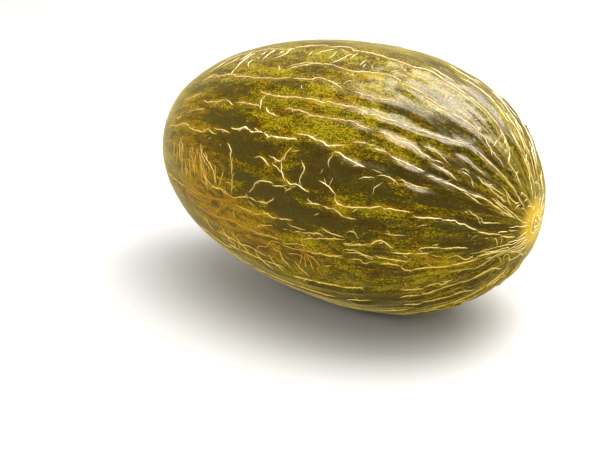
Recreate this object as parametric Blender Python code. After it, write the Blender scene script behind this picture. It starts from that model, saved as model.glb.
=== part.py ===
"""A whole piel de sapo melon lying on its side, as picked.

The fruit is one solid: a long oval with low ridges that run from end to end, a raised net of cork
cracks, a round scar at the blossom end, a dimple with the stem's scar at the other end, and a small
flat spot that it rests on.

Frame: metres, +Z up, +X towards the blossom end, origin under the middle of the fruit on the surface
that it rests on. A place on the rind is (station, turn): the station is in millimetres along X from
the middle, and the turn is in degrees round the fruit from its top, through its -Y side.
"""

import math
import random
from itertools import product

import bpy
from mathutils import Vector, kdtree, noise
from mathutils.geometry import delaunay_2d_cdt

MM = 0.001

# The outline of the fruit
HALF_LENGTH = 135 * MM
HALF_WIDTH = 83 * MM
STEM_FULLNESS = 2.11  # 2 is an ellipse, and more is blunter
BLOSSOM_FULLNESS = 2.32
TAPER = 0.043  # how much fatter the blossom half is
SHOULDER = -0.079  # how much the ends are drawn in
BLOSSOM_SAG = 4 * MM  # how far the blossom scar lies below the long axis
SAG_POWER = 8

# The flat spot
FLAT_STATION = 18  # where the belly hangs lowest
FLAT_CORNERS = 24
FLAT_MARGIN = 0.5 * MM  # nothing but its rim comes nearer to the resting surface
AXIS_HEIGHT = 82.5 * MM  # the belly is 83.6 mm below the axis, so the flat spot takes 1.1 mm off it

# Relief of the rind
CORK_HEIGHT = 0.9 * MM
CORK_HALF_WIDTH = 1.2 * MM
RIDGE_HEIGHT = 1.3 * MM  # at the blossom end; the stem half is smoother
RIDGE_REACH = 4.5 * MM
RIDGE_AT_CRACK = 0.35  # a fold's height at its crack, as a share: its crest lies below the crack
RIDGE_LEAN = 1.6  # how steeply it rises from the crack to the crest
RIDGE_MEAN = 0.12  # share of the height that the whole relief is lowered by
STEM_HALF_STRENGTH = 0.35  # how high the ridges stand there, as a share
STRENGTH_RISE = (-0.3, 0.7)  # where they grow to full height, as shares of the half length
ENDS_FADE = (0.93, 0.995)  # where they die out again towards both ends
SWELL_HEIGHT = 0.7 * MM  # long low waves that no crack follows
SWELL_LENGTH = 70 * MM
SWELLS_ROUND = 5.0
DIMPLE_DEPTH = 5 * MM
DIMPLE_REACH = 13 * MM
CLEAR_OF_FLOOR = 0.5  # relief takes up at most this share of the gap under the belly

# Scars, as rings of cork round the two ends
BLOSSOM_RING = 5.5 * MM
BLOSSOM_RING_WIDTH = 0.9  # width factors, as the cracks have
STEM_RING = 6.5 * MM
STEM_RING_WIDTH = 1.2
RING_STATIONS = 14

# Spacing of the mesh's points
CRACK_STEP = 5.6 * MM
SAMPLE_STEP = 0.5 * MM
FILL_STEP = 8.8 * MM
FILL_CLEARANCE = 3.2 * MM
FILL_JITTER = 0.25
MERIDIAN = 0.82 * math.pi * HALF_LENGTH  # the way over the rind from one end to the other
NEAREST = 0.6 * MM

# How a crack strays from its route
STRAY = 0.6 * MM
STRAY_WAVES = 90.0  # per metre
END_TAPER = 8 * MM  # a crack thins out to its tips over this length
TIP_SHARE = 0.25  # and is this share of its width there

CURVE_STEPS = 12  # places worked out between two listed ones
HALVINGS = 40  # when a place is found by halving the gap round it
SEED = 7

# The cracks of the side with the best view, each a width factor and the places that it runs through
TOP_CRACKS = (
    (1.1, ((-88, 31), (-61, 30), (-54, 31.5), (-30, 32.5), (-10, 31))),
    (1.1, ((-10, 31), (2, 30.5), (8, 28.5), (20, 30), (26, 31.5))),
    (1.0, ((33, 31.5), (49, 31.5), (56, 30), (61, 29.5))),
    (0.8, ((25, 29.5), (29.5, 25.5))),
    (1.1, ((-18, 26), (-13, 23.5), (-2, 20.5), (10, 19.5), (23, 21), (36, 19), (48, 17), (56, 19))),
    (1.1, ((56, 19), (67, 19.5), (77, 21.5), (82, 22), (94, 20.5), (104, 20.5), (109, 21), (117, 26))),
    (0.9, ((-27.5, 23), (-24.5, 26), (-22.5, 27))),
    (0.9, ((-30, 8), (-17, 4), (-8, 3.5))),
    (1.1, ((15, 5), (29, 5.5), (42, 6), (54, 5.5), (61, 3.5), (76, 4), (90, 3.5), (101, 3), (110, 4))),
    (1.1, ((110, 4), (114, 6), (119, 9), (120, 12), (121, 18), (123, 19), (126, 19.5), (129, 23))),
    (0.8, ((112, 3), (113, 8), (113, 15), (113.5, 20))),
    (1.0, ((114, -3), (118, -3), (121, -6), (127, -8))),
    (1.0, ((112, -13), (118, -14), (121, -15), (129, -18))),
    (0.7, ((-61, 26.5), (-62, 21), (-61, 15), (-60, 10))),
    (0.7, ((-50.5, 26), (-54, 22.5), (-53.5, 19))),
    (0.7, ((-45.5, 18.5), (-45, 13.5), (-44, 9))),
    (0.7, ((-9, 13.5), (-6, 9.5), (-1, 6))),
    (0.7, ((6.5, 19), (10, 15.5), (13, 10.5), (15, 9.5))),
    (0.7, ((15.5, 13.5), (17, 7.5))),
    (0.7, ((46, 16), (48, 11.5))),
)
SHOULDER_CRACKS = (
    (1.2, ((-28, 39.5), (-24, 40.5), (-8, 41), (0, 40), (13, 39.5), (20, 40), (27, 39), (42, 39), (50, 40))),
    (1.2, ((50, 40), (58, 39), (66, 38.5), (73, 39), (82, 37.5), (90, 37), (97, 34.5), (104, 32))),
    (1.2, ((104, 32), (108, 31.5), (115, 33), (120, 33), (126, 34), (129, 36))),
    (1.1, ((-4, 46.5), (0, 45.5), (12, 46), (20, 46.5), (30, 45.5), (42, 45), (56, 46))),
    (1.0, ((60, 45.5), (68, 46), (73, 47), (78, 46.5), (86, 48), (93, 49.5))),
    (1.0, ((92, 50.5), (97, 52), (101, 52.5), (106, 55.5))),
    (0.9, ((-97, 45.5), (-90, 44.5), (-79.5, 42))),
    (1.0, ((-74, 46.5), (-68, 48), (-60, 47), (-52, 46.5), (-43, 48))),
    (1.0, ((-43.5, 46.5), (-33, 46.5), (-25, 47), (-21, 48))),
    (1.1, ((-18.5, 47), (-13.5, 49), (-5, 49.5))),
    (0.8, ((-21, 41), (-23, 44.5), (-22, 48))),
    (1.1, ((47, 53.5), (57, 51.5))),
    (1.0, ((60, 53), (69, 53.5))),
    (1.2, ((70, 54), (79, 55), (91, 55.5))),
    (1.5, ((11, 55.5), (16, 55), (27, 56), (33, 57), (38, 56.5), (44, 55))),
    (0.9, ((85, 44.5), (91, 44.5), (100, 47.5))),
    (1.0, ((105, 38.5), (110, 41), (116, 42.5))),
    (0.9, ((105, 49), (110.5, 48.5))),
    (1.0, ((113, 46.5), (119, 48.5), (123, 51.5), (127, 53))),
    (0.9, ((125.5, 44), (127.5, 50), (129, 54))),
)
FLANK_CRACKS = (
    (1.0, ((-108, 64), (-95, 63), (-84, 61), (-76, 63), (-65, 63.5), (-57, 61))),
    (0.9, ((-99.5, 58.5), (-91.5, 57.5))),
    (0.9, ((-87, 56), (-83.5, 53.5), (-69, 51))),
    (1.0, ((-53, 60.5), (-46, 60.5), (-38, 61.5))),
    (1.5, ((-38.5, 58.5), (-33, 59), (-27, 57.5), (-20, 58.5), (-12, 58))),
    (1.5, ((-12, 58), (-8, 59), (-1, 58.5), (7, 58), (13, 57.5))),
    (1.4, ((38.5, 60), (41, 59), (50, 60.5), (60, 62))),
    (1.1, ((38.5, 60), (37.5, 62.5), (39, 65))),
    (1.2, ((91.5, 57.5), (104, 58), (111, 59), (117, 58.5), (120, 59), (124, 61), (127, 63), (130, 66))),
    (1.0, ((121.5, 56), (126, 58.5), (128.5, 62), (131, 66))),
    (1.0, ((57, 67), (60, 66), (65, 65), (66.5, 66))),
    (1.0, ((67, 64), (73, 63), (79.5, 64.5))),
    (1.0, ((78, 63), (81, 62.5), (84, 63.5), (96, 64))),
    (0.8, ((71, 66), (68, 69), (67.5, 72.5))),
    (1.0, ((-14.5, 68.5), (-9.5, 68), (-5, 69), (-1, 71))),
    (1.0, ((-4, 66.5), (0, 67), (6, 67.5), (8.5, 63.5), (11, 61))),
    (1.1, ((6, 67.5), (8, 71), (12, 74.5), (16, 75.5), (20.5, 75), (29.5, 76.5))),
    (0.9, ((20.5, 75), (22, 71), (23, 68), (20, 65))),
    (1.0, ((33.5, 71), (41.5, 73), (46, 75.5))),
    (1.1, ((46, 75.5), (47, 78.5), (56, 79), (67, 77.5), (74, 76.5), (89, 77))),
    (1.1, ((90, 78), (96, 78.5), (109, 78), (115.5, 82), (120.5, 84.5), (127, 88.5), (132, 97.5))),
    (0.9, ((114, 69), (117.5, 73), (120, 76), (125, 77))),
    (0.9, ((-38.5, 66), (-33.5, 68.5), (-31.5, 73), (-30, 76.5), (-29, 83), (-29, 87.5))),
    (1.0, ((-15, 84.5), (-11.5, 81.5), (-9.5, 79), (-6, 77.5), (6, 77.5), (14, 76.5))),
    (1.1, ((27.5, 81.5), (35, 81), (47, 81.5), (52, 83.5), (60.5, 84))),
    (1.0, ((-63, 74), (-53, 86), (-46, 87.5), (-37, 87), (-31, 89.5))),
    (0.8, ((-71, 75), (-65, 84))),
    (0.8, ((-59, 73), (-48, 79), (-45, 86.5))),
)
LOW_CRACKS = (
    (1.0, ((-31, 89), (-24, 88), (-16.5, 86.5), (-3.5, 86.5), (0.5, 85.5), (4.5, 83))),
    (0.9, ((-48, 93), (-42, 92.5), (-34, 92))),
    (1.1, ((-27.5, 92), (-21, 92), (-7.5, 92.5), (0, 90.5), (4, 91.5), (19, 90.5))),
    (0.8, ((53.5, 90), (58.5, 89.5), (62, 92))),
    (0.8, ((76, 88), (87, 89))),
    (1.0, ((-103, 98.5), (-91, 98), (-77, 96.5), (-60, 96))),
    (1.1, ((-54, 103), (-44, 102.5), (-28, 101), (-19.5, 102), (-1, 101.5), (7, 101))),
    (0.8, ((-27.5, 93), (-28.5, 98.5))),
    (0.8, ((-12, 100), (-8, 98.5), (3.5, 95.5))),
    (1.0, ((-48, 111.5), (-35, 113.5), (-19, 113.5), (-6, 114.5))),
    (0.9, ((18, 95.5), (35, 93.5), (40, 94.5))),
    (0.9, ((25, 98), (39, 95), (54, 94))),
    (1.0, ((52, 95.5), (66, 94.5), (71, 92.5), (75, 92), (81, 95.5))),
    (1.0, ((79, 97), (88, 98), (100, 98.5))),
    (1.0, ((93, 96.5), (95.5, 94.5), (102, 95), (116, 97))),
    (1.0, ((30, 104), (39, 103), (52, 103))),
    (1.0, ((52, 99), (59, 98.5), (65, 100), (79, 101), (85, 101.5))),
    (1.0, ((73, 104), (80, 104), (84, 105.5))),
    (1.1, ((84, 104.5), (86.5, 107.5), (99, 107.5), (109, 109), (122, 107.5), (127.5, 111), (132, 126.5))),
    (0.9, ((106.5, 114), (112, 114.5), (120, 117), (126, 114.5), (130.5, 119))),
    (0.9, ((128.5, 122.5), (131, 127), (133, 149.5))),
    (1.0, ((80.5, 121.5), (90, 122.5), (99.5, 121), (101.5, 123), (105.5, 121))),
    (1.1, ((78, 129), (84, 127.5), (94.5, 128.5), (105.5, 126.5), (113.5, 128.5), (123, 127.5), (126, 140))),
    (1.0, ((76, 136.5), (84, 137.5), (96, 137), (108, 138.5), (113, 144))),
)
LISTED_CRACKS = TOP_CRACKS + SHOULDER_CRACKS + FLANK_CRACKS + LOW_CRACKS

# The far side and the underside, where rows of long cracks follow a rule
FAR_ROW_TURN = 10.5
UNDER_ROWS = ((122, 140), (-80, 60))  # between these turns, and between these stations
BACK_ROWS = ((148, 334), (-112, 128))
ROW_CRACK_LENGTHS = (24, 74)


def crack_rows(draw, turns, stations):
    """Long cracks end to end, in broken rows one below the other."""
    cracks = []
    turn = turns[0]
    while turn < turns[1]:
        station = stations[0] + draw.uniform(0, 24)
        while station < stations[1] - ROW_CRACK_LENGTHS[0] / 2:
            length = min(draw.uniform(*ROW_CRACK_LENGTHS), stations[1] - station)
            drift = draw.uniform(-2.5, 2.5)
            bow = draw.uniform(-1.5, 1.5)
            start = turn + draw.uniform(-2, 2)
            places = (
                (station, start),
                (station + length / 3, start + drift / 3 + bow),
                (station + 2 * length / 3, start + 2 * drift / 3),
                (station + length, start + drift),
            )
            cracks.append((draw.uniform(0.8, 1.2), places))
            station += length + draw.uniform(-4, 14)
        turn += FAR_ROW_TURN * draw.uniform(0.8, 1.2)
    return cracks


def cross_cracks(draw, stations, turns, gap, reach, slant, width):
    """Short cracks that run round the fruit, side by side from one station to another."""
    cracks = []
    station = stations[0]
    while station < stations[1]:
        start = draw.uniform(turns[0], turns[1] - reach / 2)
        end = start + reach * draw.uniform(0.6, 1.2)
        lean = slant * draw.uniform(0.5, 1.4)
        middle = (station + lean * 0.4 + draw.uniform(-1, 1), (start + end) / 2)
        cracks.append((width * draw.uniform(0.85, 1.1), ((station, start), middle, (station + lean, end))))
        station += gap * draw.uniform(0.6, 1.4)
    return cracks


def crack_list():
    """Every crack of the net as (width factor, places)."""
    draw = random.Random(SEED)
    cracks = list(LISTED_CRACKS)
    cracks += crack_rows(draw, *UNDER_ROWS)
    cracks += crack_rows(draw, *BACK_ROWS)
    cracks += cross_cracks(draw, (-86, -50), (70, 88), 5, 15, 2, 0.8)  # the comb by the ground spot
    cracks += cross_cracks(draw, (-60, 20), (103, 120), 13, 10, 9, 0.8)
    cracks += cross_cracks(draw, (-90, 90), (190, 330), 15, 9, 4, 0.8)
    return cracks


# The surface of the fruit


def smooth_step(value, low, high):
    """0 below low, 1 above high, and a smooth rise between."""
    share = min(1.0, max(0.0, (value - low) / (high - low)))
    return share * share * (3 - 2 * share)


def sag(along):
    """How far the axis has moved down at this share of the half length."""
    return BLOSSOM_SAG * max(0.0, along) ** SAG_POWER


def belly(way):
    """The smooth fruit's surface point for a unit vector, which is the fruit shrunk to a ball."""
    along = max(-1.0, min(1.0, way.x))
    fullness = BLOSSOM_FULLNESS if along > 0 else STEM_FULLNESS
    girth = math.sqrt(max(0.0, 1 - abs(along) ** fullness))
    girth *= 1 + TAPER * along + SHOULDER * (along**3 - 0.6 * along)
    side = Vector((0, way.y, way.z))
    if side.length > 1e-9:
        side.normalize()
    point = side * (HALF_WIDTH * girth)
    return Vector((HALF_LENGTH * along, point.y, point.z + AXIS_HEIGHT - sag(along)))


def way_to(point):
    """The unit vector whose belly point lies nearest under a point, for points close to the rind."""
    along = max(-0.9999, min(0.9999, point.x / HALF_LENGTH))
    side = Vector((0, point.y, point.z - AXIS_HEIGHT + sag(along)))
    side.normalize()
    side *= math.sqrt(1 - along * along)
    return Vector((along, side.y, side.z))


def way_at(station, turn):
    """The unit vector of a place on the rind."""
    along = station * MM / HALF_LENGTH
    girth = math.sqrt(max(0.0, 1 - along * along))
    angle = math.radians(turn)
    return Vector((along, -girth * math.sin(angle), girth * math.cos(angle)))


def outward(way):
    """The smooth fruit's outward normal at a unit vector."""
    across = way.orthogonal().normalized()
    other = way.cross(across)
    small = 0.002
    a = belly((way + across * small).normalized()) - belly((way - across * small).normalized())
    b = belly((way + other * small).normalized()) - belly((way - other * small).normalized())
    return a.cross(b).normalized()


# The routes of the cracks


def between(t, before, start, end, after):
    """The value at share t from start to end on a smooth curve through four values."""
    slope = (end - before) * t
    bend = (2 * before - 5 * start + 4 * end - after) * t**2
    twist = (3 * start - before - 3 * end + after) * t**3
    return start + (slope + bend + twist) / 2


def curve_through(places):
    """Closely spaced places on a smooth curve through the given ones."""
    ends = (places[0], *places, places[-1])
    found = []
    for four in zip(ends, ends[1:], ends[2:], ends[3:]):
        for step in range(CURVE_STEPS):
            found.append(tuple(between(step / CURVE_STEPS, *values) for values in zip(*four)))
    return [*found, places[-1]]


def strayed(point):
    """A point of a route, moved sideways as a real crack wanders."""
    return point + STRAY * noise.noise_vector(point * STRAY_WAVES)


def stations_along(points, step):
    """Points at even distances along a line of points, both ends included."""
    lengths = [0.0]
    for a, b in zip(points, points[1:]):
        lengths.append(lengths[-1] + (b - a).length)
    count = max(2, round(lengths[-1] / step))
    found = []
    piece = 0
    for number in range(count + 1):
        target = lengths[-1] * number / count
        while piece < len(points) - 2 and lengths[piece + 1] < target:
            piece += 1
        gap = max(1e-9, lengths[piece + 1] - lengths[piece])
        found.append(points[piece].lerp(points[piece + 1], (target - lengths[piece]) / gap))
    return found


def crack_points(places):
    """The stations of one crack on the smooth fruit."""
    route = [belly(way_at(*place)) for place in curve_through(places)]
    return [belly(way_to(strayed(point))) for point in stations_along(route, CRACK_STEP)]


def ring_points(end, radius):
    """The stations of a ring scar round one end of the fruit, closed by its first point."""
    points = []
    for number in range(RING_STATIONS + 1):
        angle = 2 * math.pi * number / RING_STATIONS
        across = Vector((0, math.sin(angle), math.cos(angle)))
        low, high = 0.0, 0.5
        for _ in range(HALVINGS):
            middle = (low + high) / 2
            way = across * middle
            way.x = end * math.sqrt(1 - middle**2)
            off_axis = belly(way) - Vector((0, 0, AXIS_HEIGHT - sag(way.x)))
            if math.hypot(off_axis.y, off_axis.z) < radius:
                low = middle
            else:
                high = middle
        points.append(belly(way))
    return points


def clear_runs(points):
    """The runs of a line's points that stay clear of the flat spot."""
    runs = [[]]
    for point in points:
        if point.z > FLAT_MARGIN:
            runs[-1].append(point)
        elif runs[-1]:
            runs.append([])
    return [run for run in runs if len(run) > 2]


class Net:
    """The cracks as lines of stations, and how high each place on the rind stands because of them."""

    def __init__(self):
        self.lines = []
        for width, places in crack_list():
            for points in clear_runs(crack_points(places)):
                self.lines.append((width, points, True))
        self.lines.append((BLOSSOM_RING_WIDTH, ring_points(1, BLOSSOM_RING), False))
        self.lines.append((STEM_RING_WIDTH, ring_points(-1, STEM_RING), False))
        samples = []
        for width, points, tapers in self.lines:
            samples += self.samples_of(width, points, tapers)
        self.tree = kdtree.KDTree(len(samples))
        self.share = [share for _, share in samples]
        for number, (point, _) in enumerate(samples):
            self.tree.insert(point, number)
        self.tree.balance()

    @staticmethod
    def taper(done, length, tapers):
        """1 in the middle of a crack, falling to its two tips."""
        if not tapers:
            return 1.0
        return min(1.0, TIP_SHARE + min(done, length - done) / END_TAPER)

    def samples_of(self, width, points, tapers):
        """Fine samples of one line, each with its width factor there."""
        length = sum((b - a).length for a, b in zip(points, points[1:]))
        found, done = [], 0.0
        for a, b in zip(points, points[1:]):
            gap = (b - a).length
            count = max(1, round(gap / SAMPLE_STEP))
            for number in range(count):
                at = done + gap * number / count
                found.append((a.lerp(b, number / count), width * self.taper(at, length, tapers)))
            done += gap
        found.append((points[-1], width * self.taper(length, length, tapers)))
        return found

    def distance(self, point):
        """How far the nearest crack is, its width factor there, and how far the point lies below it."""
        sample, number, gap = self.tree.find(point)
        return gap, self.share[number], round_way(sample, point)


def round_way(start, end):
    """How far one point lies round the fruit from another near it, the way that turns are counted."""
    a = Vector((-start.y, start.z - AXIS_HEIGHT + sag(start.x / HALF_LENGTH)))
    b = Vector((-end.y, end.z - AXIS_HEIGHT + sag(end.x / HALF_LENGTH)))
    return (b.x * a.y - b.y * a.x) / max(MM, a.length)


def relief(way, point, net):
    """How far the rind stands out of the smooth fruit at a point."""
    gap, share, below = net.distance(point)
    strength = STEM_HALF_STRENGTH + (1 - STEM_HALF_STRENGTH) * smooth_step(way.x, *STRENGTH_RISE)
    fade = 1 - smooth_step(abs(way.x), *ENDS_FADE)
    fold = share * math.exp(-((gap / RIDGE_REACH) ** 2)) * (RIDGE_AT_CRACK + RIDGE_LEAN * below / RIDGE_REACH)
    height = RIDGE_HEIGHT * strength * fade * (fold - RIDGE_MEAN)
    wave = noise.noise(Vector((point.x / SWELL_LENGTH, way.y * SWELLS_ROUND, way.z * SWELLS_ROUND)))
    height += SWELL_HEIGHT * fade * wave
    height += CORK_HEIGHT * share * max(0.0, 1 - gap / (CORK_HALF_WIDTH * share))
    if way.x < 0:
        off_axis = math.hypot(point.y, point.z - AXIS_HEIGHT)
        height -= DIMPLE_DEPTH * math.exp(-((off_axis / DIMPLE_REACH) ** 2))
    return height


def raised(way, net):
    """The finished rind's point for a unit vector."""
    point = belly(way)
    normal = outward(way)
    height = relief(way, point, net)
    if normal.z < 0:
        room = CLEAR_OF_FLOOR * point.z / -normal.z
        height = max(-room, min(room, height))
    return point + normal * height


# The mesh, which no primitive gives: points on every crest, triangulated on a flat map of the rind


TO_MAP = way_at(FLAT_STATION, 180).rotation_difference(Vector((0, 0, -1)))


def to_map(way):
    """A unit vector's place on a flat map of the ball, seen from the flat spot, which keeps angles true."""
    turned = TO_MAP @ way
    return Vector((turned.x, turned.y)) / (1 + turned.z)


def from_map(place):
    """The unit vector of a place on that map."""
    square = place.length_squared
    return TO_MAP.inverted() @ (Vector((2 * place.x, 2 * place.y, 1 - square)) / (1 + square))


def rim_way(number):
    """The unit vector of one corner of the flat spot."""
    angle = 2 * math.pi * number / FLAT_CORNERS
    low, high = 0.0, 0.5
    for _ in range(HALVINGS):
        middle = (low + high) / 2
        turned = Vector((middle * math.cos(angle), middle * math.sin(angle), -math.sqrt(1 - middle**2)))
        way = TO_MAP.inverted() @ turned
        if belly(way).z < 0:
            low = middle
        else:
            high = middle
    return way


def fill_ways(net):
    """Unit vectors of scattered points that fill the rind between the cracks."""
    draw = random.Random(SEED + 1)
    found = []
    rows = round(MERIDIAN / FILL_STEP)
    for row in range(1, rows):
        slope = math.pi * (row / rows - 0.5)
        girth = 2 * math.pi * HALF_WIDTH * math.cos(slope)
        count = max(5, round(girth / FILL_STEP))
        for number in range(count):
            turn = 360 * (number + 0.5 * (row % 2) + draw.uniform(-1, 1) * FILL_JITTER) / count
            bend = slope + draw.uniform(-1, 1) * FILL_JITTER * math.pi / rows
            way = way_at(math.sin(bend) * HALF_LENGTH / MM, turn)
            point = belly(way)
            if net.distance(point)[0] > FILL_CLEARANCE and point.z > FLAT_MARGIN:
                found.append(way)
    return [*found, Vector((1, 0, 0)), Vector((-1, 0, 0))]


def crack_ways(net):
    """Unit vectors of points on the cracks' crests and at their feet, and the edges along the crests."""
    ways, edges = [], []
    for width, points, tapers in net.lines:
        length = sum((b - a).length for a, b in zip(points, points[1:]))
        done = 0.0
        for number, point in enumerate(points):
            before, after = points[max(0, number - 1)], points[min(len(points) - 1, number + 1)]
            if number:
                done += (point - points[number - 1]).length
                edges.append((crest, len(ways)))
            crest = len(ways)
            side = outward(way_to(point)).cross(after - before).normalized()
            half = CORK_HALF_WIDTH * width * net.taper(done, length, tapers)
            tip = tapers and number in (0, len(points) - 1)
            ways += [way_to(point + side * offset) for offset in ((0,) if tip else (0, -half, half))]
    return ways, edges


def spaced(ways):
    """The unit vectors without those close to one before them, and the number each of all now has."""
    kept, numbers, cells = [], [], {}
    for way in ways:
        point = belly(way)
        cell = tuple(math.floor(value / NEAREST) for value in point)
        near = [
            (round((other - point).length, 9), number)
            for shift in product((-1, 0, 1), repeat=3)
            for number, other in cells.get(tuple(map(sum, zip(cell, shift))), ())
        ]
        if near and min(near)[0] < NEAREST:
            numbers.append(min(near)[1])
            continue
        cells.setdefault(cell, []).append((len(kept), point))
        numbers.append(len(kept))
        kept.append(way)
    return kept, numbers


def rind_mesh(net):
    """The closed mesh of the fruit: a triangulation of the map, with the flat spot as its outer rim."""
    rim = [rim_way(number) for number in range(FLAT_CORNERS)]
    on_cracks, edges = crack_ways(net)
    ways, numbers = spaced(rim + on_cracks + fill_ways(net))
    edges = [(numbers[a + FLAT_CORNERS], numbers[b + FLAT_CORNERS]) for a, b in edges]
    edges = [edge for edge in edges if edge[0] != edge[1]]
    places = [to_map(way) for way in ways]
    flat, _, faces, sources, _, _ = delaunay_2d_cdt(places, edges, [], 0, 1e-7)
    corners = [Vector((*belly(way).xy, 0)) for way in rim]
    for place, source in list(zip(flat, sources))[FLAT_CORNERS:]:
        corners.append(raised(ways[source[0]] if source else from_map(place), net))
    faces.append(list(range(FLAT_CORNERS))[::-1])
    mesh = bpy.data.meshes.new("melon")
    mesh.from_pydata(corners, [], faces)
    mesh.validate()
    return mesh


def centred(mesh):
    """Moves the mesh so that its box is centred over the origin."""
    for axis in (0, 1):
        values = [vertex.co[axis] for vertex in mesh.vertices]
        middle = (min(values) + max(values)) / 2
        for vertex in mesh.vertices:
            vertex.co[axis] -= middle


def finish(name, colour, roughness):
    """A plain material."""
    material = bpy.data.materials.new(name)
    material.use_nodes = True
    shader = material.node_tree.nodes["Principled BSDF"]
    shader.inputs["Base Color"].default_value = (*colour, 1)
    shader.inputs["Roughness"].default_value = roughness
    shader.inputs["Metallic"].default_value = 0
    return material


def main():
    for old in list(bpy.data.objects):
        bpy.data.objects.remove(old)
    noise.seed_set(SEED)
    fruit = bpy.data.collections.new("piel_de_sapo_melon")
    bpy.context.scene.collection.children.link(fruit)
    mesh = rind_mesh(Net())
    centred(mesh)
    mesh.materials.append(finish("rind", (0.16, 0.17, 0.03), 0.4))
    mesh.shade_smooth()
    mesh.set_sharp_from_angle(angle=math.radians(40))
    fruit.objects.link(bpy.data.objects.new("melon", mesh))


main()
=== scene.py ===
"""The looks of a whole piel de sapo melon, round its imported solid.

A fine rind replaces the solid's faceted one. It keeps the solid's outline and ridges, adds furrows and
wrinkles, and has a mottled, speckled, waxy skin. The net of cork cracks lies on it as raised strips,
with spurs and finer orange hairs among them, and both scars are finished.

Frame: metres, +Z up, +X towards the blossom end. A place on the rind is (station, turn): the station
is in millimetres along X from the fruit's middle, and the turn is in degrees round the fruit from its
top, through its -Y side. An end of the fruit is 1 for the blossom end and -1 for the stem end.
"""

import math
import random

import bpy
import numpy as np
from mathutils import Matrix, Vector, kdtree, noise

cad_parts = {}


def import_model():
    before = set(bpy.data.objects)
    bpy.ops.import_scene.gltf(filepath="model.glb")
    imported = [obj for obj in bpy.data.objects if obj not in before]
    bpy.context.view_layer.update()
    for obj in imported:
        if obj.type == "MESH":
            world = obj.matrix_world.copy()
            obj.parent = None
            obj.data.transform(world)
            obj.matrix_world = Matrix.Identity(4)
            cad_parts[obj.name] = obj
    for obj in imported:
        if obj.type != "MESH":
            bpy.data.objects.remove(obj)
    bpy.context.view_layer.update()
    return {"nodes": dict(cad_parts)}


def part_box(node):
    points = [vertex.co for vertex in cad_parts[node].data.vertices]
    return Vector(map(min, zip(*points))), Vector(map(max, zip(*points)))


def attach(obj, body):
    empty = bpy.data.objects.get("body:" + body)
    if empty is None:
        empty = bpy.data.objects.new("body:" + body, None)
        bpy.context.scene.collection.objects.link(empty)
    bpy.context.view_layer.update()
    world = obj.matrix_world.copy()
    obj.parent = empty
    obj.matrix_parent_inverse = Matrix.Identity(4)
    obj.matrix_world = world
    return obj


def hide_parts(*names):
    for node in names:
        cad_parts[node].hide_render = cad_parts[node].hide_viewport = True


MM = 0.001

# Seeds: the first is the solid's too
SEED = 7
STRIP_SEED = 12
THIN_SEED = 18
RING_SEED = 24

# The outline of the fruit, as in the solid
HALF_LENGTH = 135 * MM
HALF_WIDTH = 83 * MM
STEM_FULLNESS = 2.11
BLOSSOM_FULLNESS = 2.32
TAPER = 0.043
SHOULDER = -0.079
SHOULDER_LEAN = 0.6
BLOSSOM_SAG = 4 * MM
SAG_POWER = 8
AXIS_HEIGHT = 82.5 * MM
FOOT_HEIGHT = 0.01 * MM  # below it lie the points of the solid's flat spot

# Relief, as in the solid
RIDGE_HEIGHT = 1.3 * MM
RIDGE_REACH = 4.5 * MM
RIDGE_AT_CRACK = 0.35
RIDGE_LEAN = 1.6
RIDGE_MEAN = 0.12
STEM_HALF_STRENGTH = 0.35
STRENGTH_RISE = (-0.3, 0.7)
ENDS_FADE = (0.93, 0.995)
SWELL_HEIGHT = 0.7 * MM
SWELL_LENGTH = 70 * MM
SWELLS_ROUND = 5.0
DIMPLE_DEPTH = 5 * MM
DIMPLE_REACH = 13 * MM
CLEAR_OF_FLOOR = 0.5
BLOSSOM_RING = 5.5 * MM
STEM_RING = 6.5 * MM
END_TAPER = 8 * MM
TIP_SHARE = 0.25

# Finer relief, for the rind only
FOLD_SHIFT = 1.4 * MM  # how far below a crack its fold begins
FURROW_REACH = 2.6 * MM
WRINKLE_HEIGHT = 0.45 * MM
WRINKLE_LENGTH = 34 * MM
WRINKLES_ROUND = 17.0
WRINKLE_EDGE = 2.2
WRINKLE_RISE = (0.0, 0.75)
CORK_BED = 0.2 * MM  # how far the skin itself rises under a crack
CORK_BED_REACH = 1.1 * MM
SHORT_CRACK_SHARE = 0.35  # how much a short crack or a hair lifts the rind, beside a long crack
HALO_REACH = 1.5 * MM  # how far the warmer colour beside a crack goes
HALO_MOST = 1.2

# The rind's grid: close to 200,000 triangles
RIND_ROWS = 292
RIND_COLUMNS = 336
ROW_SAMPLES = 4000
AT_TIP = 0.99999  # past this share of the half length a normal points along the axis
NEAREST_TIP = 0.9999  # no place is looked for nearer to a tip
TINY = 1e-6
OTHER_HALF = 1.0  # stands for the distance from a scar on the other half, in metres

# The cork strips
CORK_STEP = 0.75 * MM
CORK_HALF_WIDTH = 0.32 * MM
CORK_HEIGHT = 0.4 * MM
CORK_SUNK = 0.2 * MM
CORK_SECTION = ((-1.0, -0.5), (-0.62, 0.55), (0.0, 1.0), (0.62, 0.55), (1.0, -0.5), (0.0, -0.9))
HAIR_WIDTH = 0.95
PLAIN_HEIGHT = 0.5  # the share of a strip's height that doesn't follow its width
WARM_THINNING = 0.6
WIDTH_WAVES = (0.55, 420)  # how much the width changes along a strip, and how often a metre
HEIGHT_WAVES = (0.3, 900, (9, 9, 9))
STRIP_TIP = 0.12
TAPER_STEPS = (2, 5)  # how many steps a strip's tip takes, at least and at most
FLOOR_ROOM = 0.3 * MM  # a strip that comes nearer to the floor is left out
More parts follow.
